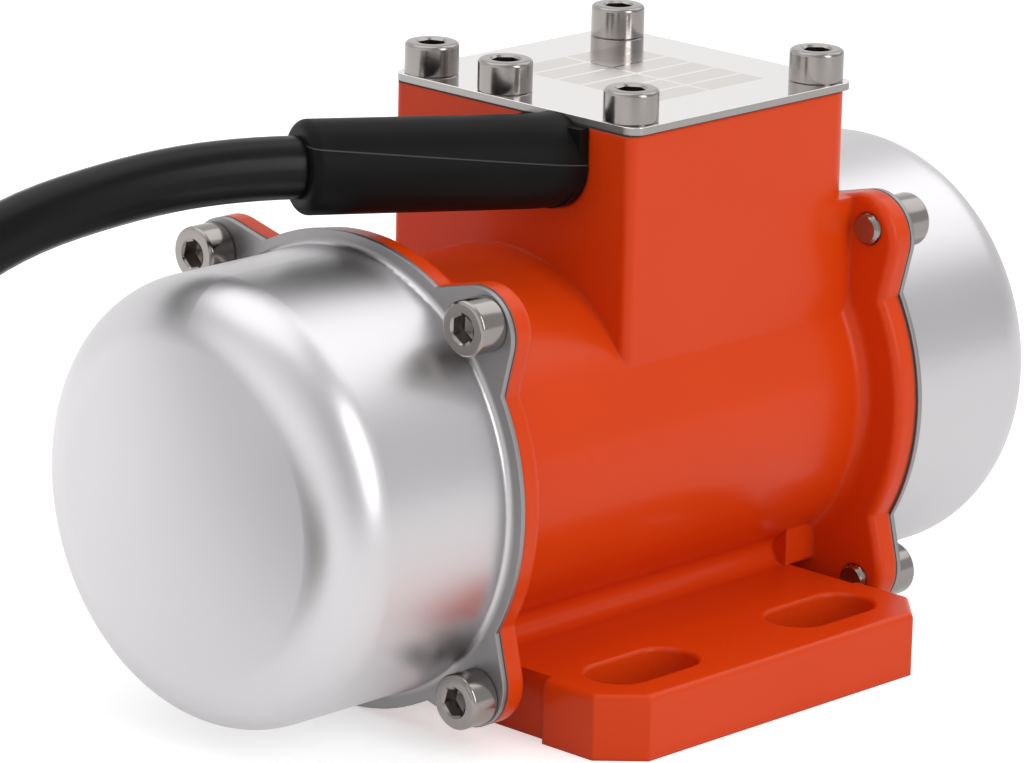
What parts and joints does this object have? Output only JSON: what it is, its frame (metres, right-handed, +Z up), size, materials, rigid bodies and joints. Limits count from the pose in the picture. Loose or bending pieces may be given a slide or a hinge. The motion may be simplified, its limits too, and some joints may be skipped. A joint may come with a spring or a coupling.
{
  "type": "rotary vibration motor",
  "caption": "Small electric vibration motor with an orange cast housing on a slotted foot, stainless end covers over eccentric weights, a terminal box and a black cable.",
  "frame": {"origin": "centre of the foot's underside, below the middle of the shaft", "axes": "+X along the shaft away from the end where the cable leaves, +Y towards the side of the foot that faces away from the camera, +Z up from the mounting surface"},
  "size_m": [0.3444, 0.1214, 0.0941],
  "materials": {
    "enamelled casting": "gloss",
    "drawn stainless steel": "satin",
    "polished stainless lid": "polished",
    "stainless screws": "polished",
    "gasket sheet": "matte",
    "black rubber": "satin",
    "cable sheath": "satin",
    "nylon tie": "satin",
    "wire insulation": "gloss",
    "turned steel": "satin",
    "spring steel": "oiled",
    "bearing steel": "ground",
    "brass cage": "satin",
    "electrical steel": "laminated",
    "copper winding": "varnished",
    "terminal plastic": "satin",
    "plated small screws": "satin",
    "tinned lug": "satin",
    "cast aluminium": "cast",
    "weight steel": "phosphated"
  },
  "bodies": {
    "motor": {"housing": "enamelled casting", "left_cover": "drawn stainless steel", "right_cover": "drawn stainless steel", "left_cover_gasket": "gasket sheet", "right_cover_gasket": "gasket sheet", "left_cover_screws": "stainless screws", "right_cover_screws": "stainless screws", "terminal_lid": "polished stainless lid", "lid_gasket": "gasket sheet", "lid_screws": "stainless screws", "cable_boot": "black rubber", "cable_entry": "cable sheath", "power_cable": "cable sheath", "cable_coil": "cable sheath", "cable_tie_near": "nylon tie", "cable_tie_far": "nylon tie", "core_ends": "wire insulation", "left_bearing_bracket": "turned steel", "right_bearing_bracket": "turned steel", "left_bracket_ring": "spring steel", "right_bracket_ring": "spring steel", "left_bearing_spring": "spring steel", "left_outer_race": "bearing steel", "right_outer_race": "bearing steel", "stator_core": "electrical steel", "stator_winding": "copper winding", "terminal_block": "terminal plastic", "terminal_screws": "plated small screws", "terminal_block_screws": "plated small screws", "earth_screw": "plated small screws", "earth_lug": "tinned lug", "stator_leads": "wire insulation", "cable_cores": "wire insulation"},
    "rotor": {"shaft": "turned steel", "rotor_core": "electrical steel", "rotor_cage": "cast aluminium", "left_inner_race": "bearing steel", "right_inner_race": "bearing steel", "left_spacer": "turned steel", "right_spacer": "turned steel", "left_fixed_weight": "weight steel", "right_fixed_weight": "weight steel", "left_weight_key": "turned steel", "right_weight_key": "turned steel", "left_shaft_ring": "spring steel", "right_shaft_ring": "spring steel"},
    "left_ball_train": {"left_bearing_balls": "bearing steel", "left_bearing_cage": "brass cage"},
    "right_ball_train": {"right_bearing_balls": "bearing steel", "right_bearing_cage": "brass cage"},
    "left_set_weight": {"left_adjustable_weight": "weight steel", "left_clamp_screw": "stainless screws"},
    "right_set_weight": {"right_adjustable_weight": "weight steel", "right_clamp_screw": "stainless screws"}
  },
  "joints": [
    {"name": "rotor_spin", "type": "hinge", "parent": "motor", "child": "rotor", "pos_m": [0, 0, 0.0372], "axis": [1, 0, 0], "continuous": true},
    {"name": "left_ball_train_spin", "type": "hinge", "parent": "motor", "child": "left_ball_train", "pos_m": [-0.036, 0, 0.0372], "axis": [1, 0, 0], "continuous": true},
    {"name": "left_weight_set", "type": "hinge", "parent": "rotor", "child": "left_set_weight", "pos_m": [-0.0603, 0, 0.0372], "axis": [1, 0, 0], "range_deg": [0, 180]},
    {"name": "right_ball_train_spin", "type": "hinge", "parent": "motor", "child": "right_ball_train", "pos_m": [0.036, 0, 0.0372], "axis": [1, 0, 0], "continuous": true},
    {"name": "right_weight_set", "type": "hinge", "parent": "rotor", "child": "right_set_weight", "pos_m": [0.0603, 0, 0.0372], "axis": [1, 0, 0], "range_deg": [0, 180]}
  ],
  "couplings": [
    {"joint": "left_ball_train_spin", "follows": "rotor_spin", "ratio": 0.36477},
    {"joint": "right_ball_train_spin", "follows": "rotor_spin", "ratio": 0.36477}
  ]
}
